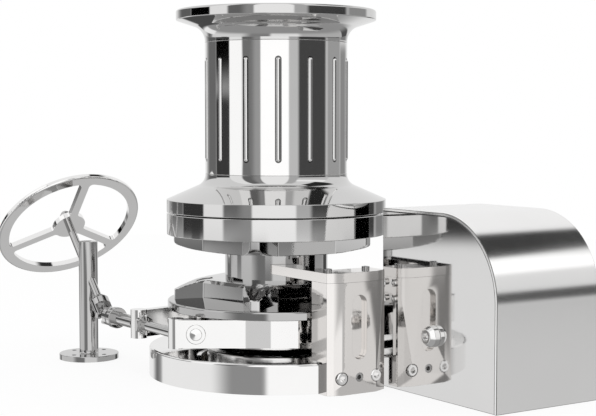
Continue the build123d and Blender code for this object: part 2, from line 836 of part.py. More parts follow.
def split_pin():
    y = nut_face_y() - nut_height - nut_crown_height * 0.6
    half = split_pin_length / 2
    pin = rod((screw_x, y, screw_z - half), (screw_x, y, screw_z + half), split_pin_radius)
    return pin + Pos(screw_x, y, screw_z + half) * Sphere(split_pin_radius * 1.7)


def thrust_collar():
    return screw_turned(
        [(screw_journal_radius, thrust_collar_y), (thrust_collar_radius, thrust_collar_y),
         (thrust_collar_radius, thrust_collar_y + thrust_collar_height),
         (screw_journal_radius, thrust_collar_y + thrust_collar_height)],
        [(1, 1.0), (2, 1.0)],
    )


def fork(bore_radius):
    # Fork open towards -Z, its pins along X, the joint's centre at the origin
    base_top = fork_depth + fork_base
    body = turned([
        (0, -fork_ear_width), (fork_radius, -fork_ear_width), (fork_radius, base_top),
        (fork_neck_radius, base_top + fork_neck), (0, base_top + fork_neck)])
    body -= block((-fork_gap / 2, fork_gap / 2), (-fork_radius, fork_radius), (-fork_ear_width, fork_depth))
    ear = extrude(Plane.YZ * (Circle(fork_ear_width / 2) + Pos(0, fork_depth / 2) *
                              Rectangle(fork_ear_width, fork_depth)), fork_radius, both=True)
    crown = block((-fork_radius, fork_radius), (-fork_radius, fork_radius), (fork_depth, base_top + fork_neck))
    body &= ear + crown
    body -= rod((-fork_radius, 0, 0), (fork_radius, 0, 0), joint_pin_radius)
    return body - disc(bore_radius, fork_depth, base_top + fork_neck)


def wheel_place():
    return Plane(origin=joint_centre, x_dir=(1, 0, 0), z_dir=wheel_line).location


def upper_yoke():
    return wheel_place() * fork(wheel_shaft_radius)


def joint_cross():
    cross = Sphere(joint_ball_radius) + rod((-fork_radius, 0, 0), (fork_radius, 0, 0), joint_pin_radius)
    return wheel_place() * cross


def lower_yoke():
    place = Plane(origin=joint_centre, x_dir=(0, 0, 1), z_dir=(0, -1, 0)).location
    return place * fork(screw_radius)


def lower_joint_pins():
    near = joint_ball_radius + moving_gap
    pins = [rod((0, 0, side * near), (0, 0, side * fork_radius), joint_pin_radius) for side in (-1, 1)]
    return Pos(*joint_centre) * Compound(children=pins)


# Handwheel and its pedestal

def wheel_shaft():
    start = fork_depth + 1
    end = (wheel_centre - joint_centre).length + wheel_thickness / 2 + wheel_boss_height + wheel_nut_height - 2
    return wheel_place() * disc(wheel_shaft_radius, start, end)


def handwheel():
    low, high = -wheel_thickness / 2, wheel_thickness / 2
    plan = Circle(wheel_radius) - Circle(wheel_radius - wheel_rim_width)
    for step in range(wheel_spoke_count):
        spoke = Pos(wheel_radius / 2 - 4, 0) * Rectangle(wheel_radius - 8, wheel_spoke_width)
        plan += Rot(0, 0, wheel_spoke_start + 360 / wheel_spoke_count * step) * spoke
    plan += Circle(wheel_hub_radius)
    inner = plan.vertices().filter_by(lambda v: hypot(v.X, v.Y) > wheel_hub_radius - 2
                                      and hypot(v.X, v.Y) < wheel_radius - wheel_rim_width / 2)
    plan = fillet(inner, wheel_corner_round)
    body = Pos(0, 0, low) * extrude(plan, wheel_thickness)
    rim = body.edges().filter_by(GeomType.CIRCLE).filter_by(lambda e: e.radius > wheel_radius - 1)
    body = fillet(rim, wheel_edge_round)
    body += disc(wheel_boss_radius, high, high + wheel_boss_height)
    body -= disc(wheel_shaft_radius, low, high + wheel_boss_height)
    return Plane(origin=wheel_centre, x_dir=(1, 0, 0), z_dir=wheel_line).location * body


def handwheel_nut():
    seat = wheel_thickness / 2 + wheel_boss_height
    body = turned([(0, 0), (wheel_nut_radius, 0), (wheel_nut_radius, wheel_nut_height - 3),
                   (wheel_nut_radius * 0.6, wheel_nut_height + 2), (0, wheel_nut_height + 3)],
                  [(3, 3.0), (2, 2.0)])
    body &= hexagon(wheel_nut_radius * 1.8, wheel_nut_height + 4)
    body -= disc(wheel_shaft_radius, 0, wheel_nut_height - 2)
    centre = wheel_centre + wheel_line * seat
    return Plane(origin=centre, x_dir=(1, 0, 0), z_dir=wheel_line).location * body


def pedestal():
    body = turned(
        [(0, 0), (pedestal_flange_radius, 0), (pedestal_flange_radius, pedestal_flange_height),
         (pedestal_post_radius, pedestal_flange_height), (pedestal_post_radius, pedestal_top), (0, pedestal_top)],
        [(2, 1.0), (3, pedestal_round), (4, 1.0)],
    )
    for x, y in on_circle(pedestal_hole_count, pedestal_hole_circle, pedestal_hole_start):
        body -= disc(pedestal_hole_radius, 0, pedestal_flange_height, x, y)
    body = Pos(screw_x, pedestal_y, 0) * body
    return body - bush_line(wheel_shaft_radius + wheel_bush_wall)


def bush_line(radius):
    reach = 3 * pedestal_post_radius
    return rod(bore_centre - wheel_line * reach, bore_centre + wheel_line * reach, radius)


def pedestal_bush():
    bush = bush_line(wheel_shaft_radius + wheel_bush_wall) - bush_line(wheel_shaft_radius + running_gap)
    return bush & disc(pedestal_post_radius, 0, pedestal_top, screw_x, pedestal_y)


# Chain stripper bracket

def bracket_plan(back_y, front_only=False):
    points = [(-bracket_half_width, bracket_chamfer_y), (-bracket_face_half, bracket_face_y),
              (bracket_face_half, bracket_face_y), (bracket_half_width, bracket_chamfer_y),
              (bracket_half_width, back_y), (-bracket_half_width, back_y)]
    return make_face(Polyline(*points, close=True))


def foot_bolt_seat_y():
    return bracket_face_y + foot_bolt_head_height - 0.6


def stripper_bracket():
    half = bracket_half_width
    body = extrude(bracket_plan(bracket_post_back_y), bracket_height)
    body += block((-half, half), (bracket_post_back_y, base_flat_y), (0, base_height))
    body += block((-half, half - side_plate_thickness), (bracket_post_back_y, bracket_back_y),
                  (bracket_head_bottom, bracket_height))
    body -= block((half - side_plate_thickness, half), (bracket_chamfer_y, bracket_back_y),
                  (bracket_head_bottom, bracket_height))
    body += block((-half, cheek_thickness - half), (bracket_post_back_y, bracket_back_y),
                  (bracket_wall_bottom, bracket_head_bottom))
    gusset = Plane.YZ * make_face(
        Line((bracket_post_back_y, gusset_foot), (bracket_post_back_y, bracket_head_bottom))
        + Line((bracket_post_back_y, bracket_head_bottom), (bracket_back_y, bracket_head_bottom))
        + RadiusArc((bracket_back_y, bracket_head_bottom), (bracket_post_back_y, gusset_foot),
                    (bracket_head_bottom - gusset_foot) * 1.3))
    body += Pos(half - gusset_inset - gusset_thickness, 0, 0) * extrude(gusset, gusset_thickness)
    slot = Plane.XZ * Pos(0, (slot_bottom + slot_top) / 2) * Rot(0, 0, 90) * SlotOverall(
        slot_top - slot_bottom, 2 * slot_half_width)
    body -= Pos(0, bracket_face_y + slot_depth, 0) * extrude(slot, slot_depth * 2)
    for x in (-foot_bolt_x, foot_bolt_x):
        body -= rod((x, bracket_face_y, foot_bolt_z), (x, base_flat_y, foot_bolt_z), foot_bolt_radius)
        body -= rod((x, bracket_face_y - 1, foot_bolt_z), (x, foot_bolt_seat_y(), foot_bolt_z),
                    foot_bolt_head_radius + screw_gap)
    body -= rod((0, bracket_face_y, foot_bolt_z), (0, base_flat_y, foot_bolt_z), set_screw_radius)
    for y, z in side_screw_places():
        body -= rod((half - side_plate_thickness - side_screw_length, y, z), (half, y, z), side_screw_radius)
    for x in (-top_screw_x, top_screw_x):
        body -= disc(top_screw_radius, bracket_height - top_screw_length, bracket_height, x, top_screw_y)
    return body


def side_screw_places():
    ys = (bracket_chamfer_y + side_screw_edge, bracket_back_y - side_screw_edge)
    zs = (bracket_head_bottom + side_screw_edge, bracket_height - side_screw_edge)
    return [(y, z) for y in ys for z in zs]


def stripper_side_plate():
    half = bracket_half_width
    plate = block((half - side_plate_thickness, half), (bracket_chamfer_y, bracket_back_y),
                  (bracket_head_bottom, bracket_height))
    for y, z in side_screw_places():
        plate -= rod((half - side_plate_thickness, y, z), (half, y, z), side_screw_radius)
    return plate


def stripper_side_screws():
    screw = cap_screw(side_screw_radius, side_screw_length + side_plate_thickness, side_screw_head_radius,
                      side_screw_head_height, 5)
    return Compound(children=[facing(bracket_half_width, y, z, (1, 0, 0)) * screw
                              for y, z in side_screw_places()])


def stripper_plate():
    low, high = bracket_height, bracket_height + stripper_thickness
    body = extrude(bracket_plan(bracket_back_y), stripper_thickness)
    finger = block((-bracket_half_width, finger_width - bracket_half_width),
                   (bracket_back_y - 5, 0), (0, stripper_thickness))
    body = Pos(0, 0, low) * (body + finger)
    body -= disc(gypsy_hub_radius + finger_gap, low, high)
    body -= block((-bracket_half_width, bracket_half_width), (-gypsy_hub_radius * 0.7, 0), (low, high))
    for x in (-top_screw_x, top_screw_x):
        body -= disc(top_screw_radius, low, high, x, top_screw_y)
    return body


def stripper_top_screws():
    screw = cap_screw(top_screw_radius, top_screw_length + stripper_thickness, top_screw_head_radius,
                      top_screw_head_height, 5)
    top = bracket_height + stripper_thickness
    return Compound(children=[Pos(x, top_screw_y, top) * screw for x in (-top_screw_x, top_screw_x)])


def stripper_foot_bolts():
    bolt = cap_screw(foot_bolt_radius, foot_bolt_length, foot_bolt_head_radius, foot_bolt_head_height, 8)
    return Compound(children=[facing(x, foot_bolt_seat_y(), foot_bolt_z, (0, -1, 0)) * bolt
                              for x in (-foot_bolt_x, foot_bolt_x)])


def stripper_set_screw():
    length = base_flat_y - bracket_face_y
    body = disc(set_screw_radius, -length, -1.0) - Pos(0, 0, -8) * hexagon(set_screw_socket, 8)
    return facing(0, bracket_face_y, foot_bolt_z, (0, -1, 0)) * body


# Chain hood

def hood_outline(inset):
    # Side view in (y, z): open at the back, round at the front top
    front = hood_front_y + inset
    top = hood_height - inset
    points = [(hood_back_y, 0), (front, 0), (front, top), (hood_back_y, top)]
    return Plane.YZ * outline(points, [(2, hood_round - inset)])


def hood_cover():
    cover = extrude(hood_outline(0), hood_width) - extrude(hood_outline(hood_sheet), hood_width)
    return Pos(hood_x, 0, 0) * cover


def hood_side(x):
    return Pos(x, 0, 0) * extrude(hood_outline(hood_sheet), hood_sheet)


def hood_side_plate():
    plate = hood_side(hood_x + hood_plate_inset)
    return plate - rod((hood_x, hood_bolt_y, hood_bolt_z),
                       (hood_x + 2 * hood_sheet, hood_bolt_y, hood_bolt_z), hood_stud_radius)


def hood_outer_plate():
    return hood_side(hood_x + hood_width - hood_plate_inset - hood_sheet)


def hood_holes():
    left = hood_x + hood_sheet + hood_hole_inset
    right = hood_x + hood_width - hood_sheet - hood_hole_inset
    front = hood_front_y + hood_sheet + hood_hole_inset - 4
    back = hood_front_y + hood_sheet + hood_frame_length - hood_hole_inset + 4
    return [(x, y) for x in (left, right) for y in (front, back)]


def hood_frame():
    left = hood_x + hood_plate_inset + hood_sheet
    right = hood_x + hood_width - hood_plate_inset - hood_sheet
    front = hood_front_y + hood_sheet
    frame = block((left, right), (front, front + hood_frame_length), (0, hood_frame_height))
    frame -= disc(pipe_radius + pipe_wall, 0, hood_frame_height, pipe_x(), pipe_y)
    for x, y in hood_holes():
        frame -= disc(hood_hole_radius, 0, hood_frame_height, x, y)
    return frame


def pipe_x():
    return hood_x + hood_width / 2


def chain_pipe():
    low = turned(
        [(pipe_radius, 0), (pipe_radius + pipe_wall, 0), (pipe_radius + pipe_wall, pipe_height),
         (pipe_radius, pipe_height)],
        [(3, 3.0), (2, 2.0)],
    )
    return Pos(pipe_x(), pipe_y, 0) * low


def hood_bolt():
    face = hood_plate_inset
    body = turned(
        [(0, -face), (hood_bolt_radius, -face), (hood_bolt_radius - 0.8, hood_bolt_length * 0.45),
         (hood_bolt_end_radius, hood_bolt_length), (0, hood_bolt_length)],
        [(2, 6.0), (3, 1.5)],
    )
    body += disc(hood_stud_radius, -face - hood_sheet - hood_nut_height - 2, -face)
    body -= Pos(0, 0, hood_bolt_length - 9) * hexagon(hood_bolt_socket, 10)
    return facing(hood_x, hood_bolt_y, hood_bolt_z, (-1, 0, 0)) * body


def hood_bolt_nut():
    body = hexagon(hood_nut_flats, hood_nut_height) - disc(hood_stud_radius, 0, hood_nut_height)
    x = hood_x + hood_plate_inset + hood_sheet
    return facing(x, hood_bolt_y, hood_bolt_z, (1, 0, 0)) * body


NODES = {
    "base_plate": base_plate,
    "lower_bush": lower_bush,
    "shaft_seal": shaft_seal,
    "main_shaft": main_shaft,
    "hub_key": hub_key,
    "lower_thrust_washer": lower_thrust_washer,
    "upper_thrust_washer": upper_thrust_washer,
    "capstan_base": capstan_base,
    "capstan_barrel": capstan_barrel,
    "grip_bars": grip_bars,
    "capstan_top": capstan_top,
    "drum_cap": drum_cap,
    "cap_screws": cap_screws,
    "gypsy_lower_half": gypsy_lower_half,
    "gypsy_upper_half": gypsy_upper_half,
    "gypsy_bolts": gypsy_bolts,
    "gypsy_lower_bush": lambda: gypsy_bush(gypsy_bottom, groove_bottom - 10),
    "gypsy_upper_bush": lambda: gypsy_bush(groove_top - 10, gypsy_boss_top),
    "clutch_lining": clutch_lining,
    "brake_drum": brake_drum,
    "drum_screws": drum_screws,
    "brake_band_front": brake_band_front,
    "brake_band_rear": brake_band_rear,
    "brake_lining_front": lambda: brake_lining(-1),
    "brake_lining_rear": lambda: brake_lining(1),
    "band_foot_screws": band_foot_screws,
    "hinge_pin": hinge_pin,
    "hinge_clip": hinge_clip,
    "arm_bolt": arm_bolt,
    "brake_screw": brake_screw,
    "castle_nut": castle_nut,
    "split_pin": split_pin,
    "thrust_collar": thrust_collar,
    "lower_yoke": lower_yoke,
    "lower_joint_pins": lower_joint_pins,
    "joint_cross": joint_cross,
    "upper_yoke": upper_yoke,
    "wheel_shaft": wheel_shaft,
    "handwheel": handwheel,
    "handwheel_nut": handwheel_nut,
    "pedestal": pedestal,
    "pedestal_bush": pedestal_bush,
    "stripper_bracket": stripper_bracket,
    "stripper_side_plate": stripper_side_plate,
    "stripper_side_screws": stripper_side_screws,
    "stripper_plate": stripper_plate,
    "stripper_top_screws": stripper_top_screws,
    "stripper_foot_bolts": stripper_foot_bolts,
    "stripper_set_screw": stripper_set_screw,
    "hood_cover": hood_cover,
    "hood_side_plate": hood_side_plate,
    "hood_outer_plate": hood_outer_plate,
    "hood_frame": hood_frame,
    "chain_pipe": chain_pipe,
    "hood_bolt": hood_bolt,
    "hood_bolt_nut": hood_bolt_nut,
}

os.makedirs("parts", exist_ok=True)
for name, build in NODES.items():
    export_step(build(), f"parts/{name}.step")
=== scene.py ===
import math

import bmesh
import bpy
import numpy as np
from mathutils import Matrix, Vector


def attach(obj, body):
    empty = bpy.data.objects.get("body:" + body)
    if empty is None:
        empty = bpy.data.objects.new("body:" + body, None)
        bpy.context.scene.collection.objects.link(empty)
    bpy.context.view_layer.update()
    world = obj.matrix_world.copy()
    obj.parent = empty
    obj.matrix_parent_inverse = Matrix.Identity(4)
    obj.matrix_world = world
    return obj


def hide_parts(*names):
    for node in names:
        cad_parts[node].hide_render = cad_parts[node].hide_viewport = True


bl_info = {
    "name": "Anchor Windlass",
    "version": (1, 0, 0),
    "blender": (4, 5, 0),
    "location": "3D View > Sidebar > Windlass",
    "description": "Dresses a polished vertical anchor windlass and sets up its studio",
    "category": "Object",
}

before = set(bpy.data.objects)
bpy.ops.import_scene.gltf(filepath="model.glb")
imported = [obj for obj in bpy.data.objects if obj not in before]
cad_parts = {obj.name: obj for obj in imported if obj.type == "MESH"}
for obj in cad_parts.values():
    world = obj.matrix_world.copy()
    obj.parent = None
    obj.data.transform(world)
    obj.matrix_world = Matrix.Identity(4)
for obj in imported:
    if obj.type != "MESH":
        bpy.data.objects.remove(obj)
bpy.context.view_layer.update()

MM = 0.001


# Sizes and colours that a user would change

class SteelSettings(bpy.types.PropertyGroup):
    tint: bpy.props.FloatVectorProperty(
        name="Steel Tint", description="Colour of the polished stainless steel", subtype="COLOR",
        size=3, min=0, max=1, default=(0.88, 0.875, 0.87))
    warm_tint: bpy.props.FloatVectorProperty(
        name="Bracket Tint", description="Warmer colour of the bracket's polished plates",
        subtype="COLOR", size=3, min=0, max=1, default=(0.86, 0.835, 0.815))
    polish: bpy.props.FloatProperty(
        name="Polish Roughness", description="Roughness of the mirror-polished faces",
        min=0, max=1, default=0.045, subtype="FACTOR")
    satin: bpy.props.FloatProperty(
        name="Satin Roughness", description="Roughness of screws, shafts and other satin steel",
        min=0, max=1, default=0.24, subtype="FACTOR")
    bronze: bpy.props.FloatVectorProperty(
        name="Bronze", description="Colour of the bearing bushes and washers", subtype="COLOR",
        size=3, min=0, max=1, default=(0.62, 0.40, 0.17))
    lining: bpy.props.FloatVectorProperty(
        name="Friction Lining", description="Colour of the brake and clutch linings",
        subtype="COLOR", size=3, min=0, max=1, default=(0.085, 0.07, 0.055))
    rubber: bpy.props.FloatVectorProperty(
        name="Seal Rubber", description="Colour of the shaft seal", subtype="COLOR",
        size=3, min=0, max=1, default=(0.018, 0.018, 0.019))


class StudioSettings(bpy.types.PropertyGroup):
    floor_reach: bpy.props.FloatProperty(
        name="Floor Reach", description="Radius of the pale floor",
        default=2.35, min=1, unit="LENGTH")
    shadow: bpy.props.FloatProperty(
        name="Shadow", description="Share of the floor's brightness that the shadow can take",
        default=0.12, min=0, max=1, subtype="FACTOR")
    lens: bpy.props.FloatProperty(
        name="Lens", description="Focal length on a 36 mm wide sensor, in millimetres",
        default=84.56, min=10)
    distance: bpy.props.FloatProperty(
        name="Camera Distance", description="Level distance from the main shaft to the camera",
        default=1.96, min=0.5, unit="LENGTH")
    height: bpy.props.FloatProperty(
        name="Camera Height", description="Height of the camera over the deck",
        default=0.356, unit="LENGTH")
    bearing: bpy.props.FloatProperty(
        name="Camera Bearing", description="Turn of the view from +Y towards +X, in degrees",
        default=33.5)
    turn: bpy.props.FloatProperty(
        name="Camera Turn", description="How far the camera looks past the main shaft, in degrees",
        default=0.89)
    tilt: bpy.props.FloatProperty(
        name="Camera Tilt", description="How far the camera looks down, in degrees",
        default=3.678)


# Shader helpers

class Socket:
    """A shader value. Arithmetic on it, with numbers or other values, adds Math nodes."""

    def __init__(self, shader, socket):
        self.shader = shader
        self.socket = socket

    def math(self, operation, *values):
        """The result of a Math node on these values."""
        return self.shader.add("ShaderNodeMath", {"operation": operation}, *values)

    def __add__(self, other):
        return self.math("ADD", self, other)

    __radd__ = __add__

    def __sub__(self, other):
        return self.math("SUBTRACT", self, other)

    def __rsub__(self, other):
        return self.math("SUBTRACT", other, self)

    def __mul__(self, other):
        return self.math("MULTIPLY", self, other)

    __rmul__ = __mul__

    def __pow__(self, other):
        return self.math("POWER", self, other)

    def step_up(self, middle, soft):
        """0 below the middle, 1 above it and a smooth rise from soft under it to soft over it."""
        return self.shader.add("ShaderNodeMapRange", {"interpolation_type": "SMOOTHSTEP"},
                               self, middle - soft, middle + soft, 0.0, 1.0)

    def within(self, low, high, soft_low, soft_high):
        """1 between low and high and 0 outside, with an edge as soft as given at each."""
        return self.step_up(low, soft_low) * (1 - self.step_up(high, soft_high))


class Shader:
    """The node tree of a material or the world."""

    def __init__(self, owner):
        owner.use_nodes = True
        self.tree = owner.node_tree
        self.tree.nodes.clear()

    def add(self, kind, settings, *values, output=0, **named):
        """Adds a node, its settings first and then its inputs by place or by name, and gives
        one of its outputs."""
        node = self.tree.nodes.new(kind)
        for key, value in settings.items():
            setattr(node, key, value)
        for key, value in list(enumerate(values)) + list(named.items()):
            target = self.pick(node.inputs, key)
            if isinstance(value, Socket):
                self.tree.links.new(value.socket, target)
            else:
                target.default_value = value
        return Socket(self, self.pick(node.outputs, output)) if node.outputs else None

    @staticmethod
    def pick(sockets, key):
        """A socket by place, name or identifier, as a Mix node's sockets share their names."""
        if isinstance(key, int) or key in sockets:
            return sockets[key]
        return next(socket for socket in sockets if socket.identifier == key)

    def object_place(self, scale=(1.0, 1.0, 1.0)):
        """Object coordinates in metres, stretched by scale."""
        place = self.add("ShaderNodeTexCoord", {}, output="Object")
        return self.add("ShaderNodeMapping", {}, Vector=place, Scale=scale)

    def noise(self, place, scale, detail, roughness=0.5):
        """Soft noise from 0 to 1 with about scale bumps per metre."""
        return self.add("ShaderNodeTexNoise", {}, Vector=place, Scale=scale, Detail=detail,
                        Roughness=roughness)

    def parts(self, place, axes="XYZ"):
        """The parts of a vector along these axes."""
        return [self.add("ShaderNodeSeparateXYZ", {}, place, output=axis) for axis in axes]

    def blend(self, amount, low, high):
        """A colour between low and high."""
        return self.add("ShaderNodeMix", {"data_type": "RGBA"}, output="Result_Color",
                        Factor_Float=amount, A_Color=low, B_Color=high)

    def tint(self, amount, colour, low, high):
        """The colour times a share between low and high."""
        return self.blend(amount, (*scaled(colour, low), 1.0), (*scaled(colour, high), 1.0))


def scaled(colour, factor):
    """The colour times the factor, and at most 1."""
    return tuple(min(1.0, channel * factor) for channel in colour)


# Finishes

GRAIN = 0.25            # share of the roughness that drifts
CLOUD_SCALE = 18.0      # soft clouds per metre
FINE_SCALE = 140.0      # fine marks per metre
SPREAD = 0.03           # drift of the tint
SCRATCH_SHARE = 0.6     # share of the polishing lines in the roughness
SCRATCH_HEIGHT = 0.000004
FACE_WAVE = 0.00002     # height in metres of the soft waves in a turned or polished face
PLATE_WAVE = 0.00003    # and in a plate
STRIP_EDGE = 0.001      # metres over which a strip of painted shade sets in
HOLLOW_EDGE = 0.0001    # and the painted shade of a hollow


def upright_strip(shader, place, bearing, start, end):
    """1 in an upright strip. It runs from start to end in metres along x cos b - y sin b."""
    x, y = shader.parts(place, "XY")
    turn = math.radians(bearing)
    return (x * math.cos(turn) - y * math.sin(turn)).within(start, end, STRIP_EDGE, STRIP_EDGE)


def near_axis(shader, place, radius):
    """1 nearer the Z axis than radius in metres, by the distance (x^2 + y^2)^0.5."""
    x, y = shader.parts(place, "XY")
    return 1 - ((x * x + y * y) ** 0.5).step_up(radius, HOLLOW_EDGE)


def metal(name, tint, roughness, cloud_scale=CLOUD_SCALE, wave=0.0, lines=None, spread=SPREAD,
          painted_shade=None):
    """A metal: its tint drifts a little in soft clouds, its roughness in finer ones, and its
    face waves by the height given. lines stretches fine polishing lines along the object's axes.
    Its last argument paints shade into one place, darker than the rest: the function that finds
    the place, its values, and the share of the tint that it keeps there."""
    material = bpy.data.materials.new(name)
    shader = Shader(material)
    place = shader.object_place()
    clouds = shader.noise(place, cloud_scale, 2.0)
    fine = shader.noise(place, FINE_SCALE, 4.0)
    colour = shader.tint(clouds, tint, 1 - spread, 1 + spread)
    if painted_shade:
        find, values, share = painted_shade
        # painted shade: a darker copy of the tint where the place is found
        painted_shade_colour = shader.tint(clouds, tint, share * (1 - spread), share * (1 + spread))
        where = find(shader, place, *values)
        colour = shader.blend(where, colour, painted_shade_colour)
    marks = clouds * 0.5 + fine * 0.5
    height = clouds * wave
    if lines:
        scratches = shader.noise(shader.object_place(lines), 1.0, 3.0, 0.6)
        marks = marks * (1 - SCRATCH_SHARE) + scratches * SCRATCH_SHARE
        height = height + scratches * SCRATCH_HEIGHT
    rough = marks * (roughness * GRAIN * 2) + roughness * (1 - GRAIN)
    normal = shader.add("ShaderNodeBump", {}, Height=height, Distance=1.0, Strength=1.0)
    body = shader.add("ShaderNodeBsdfPrincipled", {}, Metallic=1.0, Roughness=rough,
                      Normal=normal, **{"Base Color": colour})
    shader.add("ShaderNodeOutputMaterial", {}, Surface=body)
    return material


def dull(name, tint, roughness, speck_scale, bump_height):
    """A friction lining or rubber: fine specks in its colour and a pebbled face."""
    material = bpy.data.materials.new(name)
    shader = Shader(material)
    place = shader.object_place()
    specks = shader.noise(place, speck_scale, 3.0, 0.7)
    clouds = shader.noise(place, speck_scale / 12, 2.0)
    colour = shader.tint(specks * 0.7 + clouds * 0.3, tint, 0.6, 1.5)
    normal = shader.add("ShaderNodeBump", {}, Height=specks * bump_height, Distance=1.0,
                        Strength=1.0)
    body = shader.add("ShaderNodeBsdfPrincipled", {}, Roughness=specks * 0.15 + (roughness - 0.07),
                      Normal=normal, **{"Base Color": colour})
    shader.add("ShaderNodeOutputMaterial", {}, Surface=body)
    return material


# A metal's tint and roughness by the setting's name, the share of that tint that it keeps (darker
# and lighter copies of one polished steel: painted shade below 1, painted light above 1), how
# many times that roughness it has, and what else metal() takes
METALS = {
    "mirror_steel": {"wave": FACE_WAVE},
    # painted shade: the barrel is darker nearer the axis than 98.6 mm, in the recesses round the
    # grip bars
    "barrel_steel": {"wave": FACE_WAVE, "painted_shade": (near_axis, (0.0986,), 0.16)},
    "flare_steel": {"painted_light_and_shade": 0.76, "wave": FACE_WAVE},
    "ring_steel": {"painted_light_and_shade": 0.80, "wave": FACE_WAVE},
    "gypsy_steel": {"painted_light_and_shade": 0.70, "wave": FACE_WAVE},
    "groove_steel": {"painted_light_and_shade": 0.56, "wave": FACE_WAVE},
    "linkage_steel": {"painted_light_and_shade": 0.60, "wave": FACE_WAVE},
    "wheel_steel": {"painted_light_and_shade": 1.06, "wave": FACE_WAVE},
    "socket_steel": {"painted_light_and_shade": 0.42, "wave": FACE_WAVE},
    # painted dark outlines: the eased edges keep only 0.24 of the tint
    "edge_steel": {"painted_light_and_shade": 0.24, "wave": FACE_WAVE},
    # painted dark reflection: a darker upright strip on the band, turned to the camera's bearing
    # of 33.5 degrees
    "band_steel": {"times": 1.5, "wave": PLATE_WAVE,
                   "painted_shade": (upright_strip, (33.5, -0.0386, -0.0054), 0.62)},
    # painted darker reflection: an upright strip across the bracket's middle is a little darker
    "bracket_steel": {"tint": "warm_tint", "times": 1.6, "wave": PLATE_WAVE,
                      "painted_shade": (upright_strip, (0.0, -0.0375, 0.0375), 0.92)},
    "hood_steel": {"painted_light_and_shade": 0.84, "wave": FACE_WAVE, "cloud_scale": 9.0},
    "cover_steel": {"painted_light_and_shade": 1.09, "times": 3.6, "wave": FACE_WAVE, "cloud_scale": 9.0},
    "turned_steel": {"rough": "satin", "times": 0.7, "lines": (3.0, 3.0, 900.0)},
    "screw_steel": {"painted_light_and_shade": 0.97, "rough": "satin", "times": 0.55, "lines": (60.0, 60.0, 900.0)},
    "satin_steel": {"painted_light_and_shade": 0.93, "rough": "satin", "lines": (5.0, 5.0, 900.0)},
    "bush_bronze": {"tint": "bronze", "rough": "satin", "lines": (3.0, 3.0, 700.0),
                    "spread": 0.08},
}

# Colour by the setting's name, roughness, specks per metre, height of the bumps in metres
DULLS = {
    "friction_lining": ("lining", 0.8, 900.0, 0.0001),
    "seal_rubber": ("rubber", 0.55, 1500.0, 0.00003),
}


def finish(name):
    """The finish of that name, made when a piece first asks for it."""
    if name in bpy.data.materials:
        return bpy.data.materials[name]
    steel = bpy.context.scene.windlass_steel
    if name in METALS:
        recipe = dict(METALS[name])
        # painted light and shade: the tint is scaled by the finish's share, darker for some
        # finishes and lighter for others
        tint = scaled(getattr(steel, recipe.pop("tint", "tint")), recipe.pop("painted_light_and_shade", 1.0))
        roughness = getattr(steel, recipe.pop("rough", "polish")) * recipe.pop("times", 1.0)
        return metal(name, tint, roughness, **recipe)
    if name in DULLS:
        setting, *values = DULLS[name]
        return dull(name, tuple(getattr(steel, setting)), *values)
    raise RuntimeError(f"no finish is named {name}")


# Surfaces

LEAST_ROUND = 0.4       # millimetres, at a corner that gives no round
ROUND_STEPS = 5         # points on a corner's round
FOOT_STEPS = 15         # and on the large rounds of the capstan's foot
FLARE_STEPS = 19        # and of its flare
TURNED_COLUMNS = 240
JOIN_DISTANCE = 0.000005
FLAT_ANGLE = 0.6        # degrees between faces that are one flat face
EDGE_ANGLE = 28.0       # degrees from which an edge is sharp
EASED_SEGMENTS = 2
EASED_EDGES = "Eased edges"


def rounded_outline(corners, steps=ROUND_STEPS):
    """Points and outward normals of a closed outline in (radius, height). Each corner is (r, z)
    or (r, z, round): its round is an arc that meets both sides on their tangents, at
    centre + round * (cos a, sin a)."""
    flat = np.array([corner[:2] for corner in corners], float)
    rounds = np.array([corner[2] if len(corner) > 2 else LEAST_ROUND for corner in corners], float)
    area = np.sum(flat[:, 0] * np.roll(flat[:, 1], -1) - np.roll(flat[:, 0], -1) * flat[:, 1])
    if area < 0:
        flat, rounds = flat[::-1], rounds[::-1]
    ahead = np.roll(flat, -1, 0) - flat
    ahead /= np.linalg.norm(ahead, axis=1)[:, None]
    behind = np.roll(ahead, 1, 0)
    turn = np.arctan2(behind[:, 0] * ahead[:, 1] - behind[:, 1] * ahead[:, 0],
                      np.sum(behind * ahead, 1))
    share = np.linspace(0, 1, steps)
    side = np.sign(turn)
    start = flat - behind * (rounds * np.tan(np.abs(turn) / 2))[:, None]
    outward = np.stack([behind[:, 1], -behind[:, 0]], 1)
    centre = start - outward * (rounds * side)[:, None]
    angle = np.arctan2(outward[:, 1], outward[:, 0])[:, None] + turn[:, None] * share
    normals = np.stack([np.cos(angle), np.sin(angle)], 2)
    points = centre[:, None] + normals * (rounds * side)[:, None, None]
    return points.reshape(-1, 2), normals.reshape(-1, 2)


def grid_piece(name, points, normals=None):
    """Mesh of a grid of points (rows, columns, 3) in millimetres, joined end to end both ways,
    with its shading normals where they are given point by point."""
    rows, columns = points.shape[:2]
    index = np.arange(rows * columns).reshape(rows, columns)
    index = np.concatenate([index, index[:1]])
    index = np.concatenate([index, index[:, :1]], 1)
    corners = [index[:-1, :-1], index[:-1, 1:], index[1:, 1:], index[1:, :-1]]
    faces = np.stack(corners, 2).reshape(-1, 4)
    if normals is not None:
        normals = normals.reshape(-1, 3)
    return mesh_piece(name, points.reshape(-1, 3), faces.tolist(), normals)


def mesh_piece(name, points, faces, normals=None):
    """A smooth object of these points in millimetres and faces."""
    mesh = bpy.data.meshes.new(name)
    mesh.from_pydata((points * MM).tolist(), [], faces)
    smooth(mesh)
    if normals is not None:
        mesh.normals_split_custom_set_from_vertices(normals.tolist())
    mesh.update()
    return add_object(name, mesh)


def smooth(mesh):
    """Marks every face smooth."""
    mesh.polygons.foreach_set("use_smooth", np.ones(len(mesh.polygons), bool))


